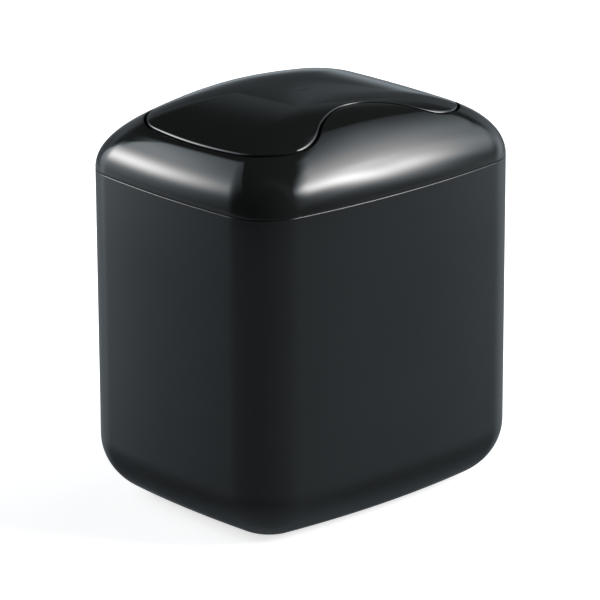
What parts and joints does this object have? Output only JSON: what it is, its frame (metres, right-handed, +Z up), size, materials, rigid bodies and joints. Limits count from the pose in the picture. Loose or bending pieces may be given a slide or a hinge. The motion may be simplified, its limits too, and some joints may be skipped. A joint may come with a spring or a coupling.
{
  "type": "swing-lid bin",
  "caption": "Small tabletop waste bin with a bowed rectangular body, a lift-off domed lid cover and a weighted flap that swings both ways on two pins.",
  "frame": {"origin": "centre of the base, on the surface that the bin stands on", "axes": "+Z up; -Y is the front, where the cover runs back into the flap; +X is the bin's right seen from above with the front towards the viewer"},
  "size_m": [0.172, 0.14, 0.1954],
  "materials": {
    "body_plastic": "satin black moulded plastic",
    "lid_plastic": "high-gloss black moulded plastic",
    "pin_steel": "bright drawn steel",
    "weight_steel": "zinc plated bar",
    "cap_plastic": "black moulded plastic"
  },
  "bodies": {
    "body": {"bin_body": "body_plastic"},
    "lid": {"lid_cover": "lid_plastic", "left_pivot_pin": "pin_steel", "right_pivot_pin": "pin_steel"},
    "flap": {"swing_flap": "lid_plastic", "counterweight_bar": "weight_steel", "left_weight_cap": "cap_plastic", "right_weight_cap": "cap_plastic"}
  },
  "joints": [
    {"name": "lid_lift", "type": "slide", "parent": "body", "child": "lid", "axis": [0, 0, 1], "range_m": [0, 0.08]},
    {"name": "flap_swing", "type": "hinge", "parent": "lid", "child": "flap", "pos_m": [0, 0, 0.17729], "axis": [1, 0, 0], "range_deg": [-75, 75]}
  ]
}
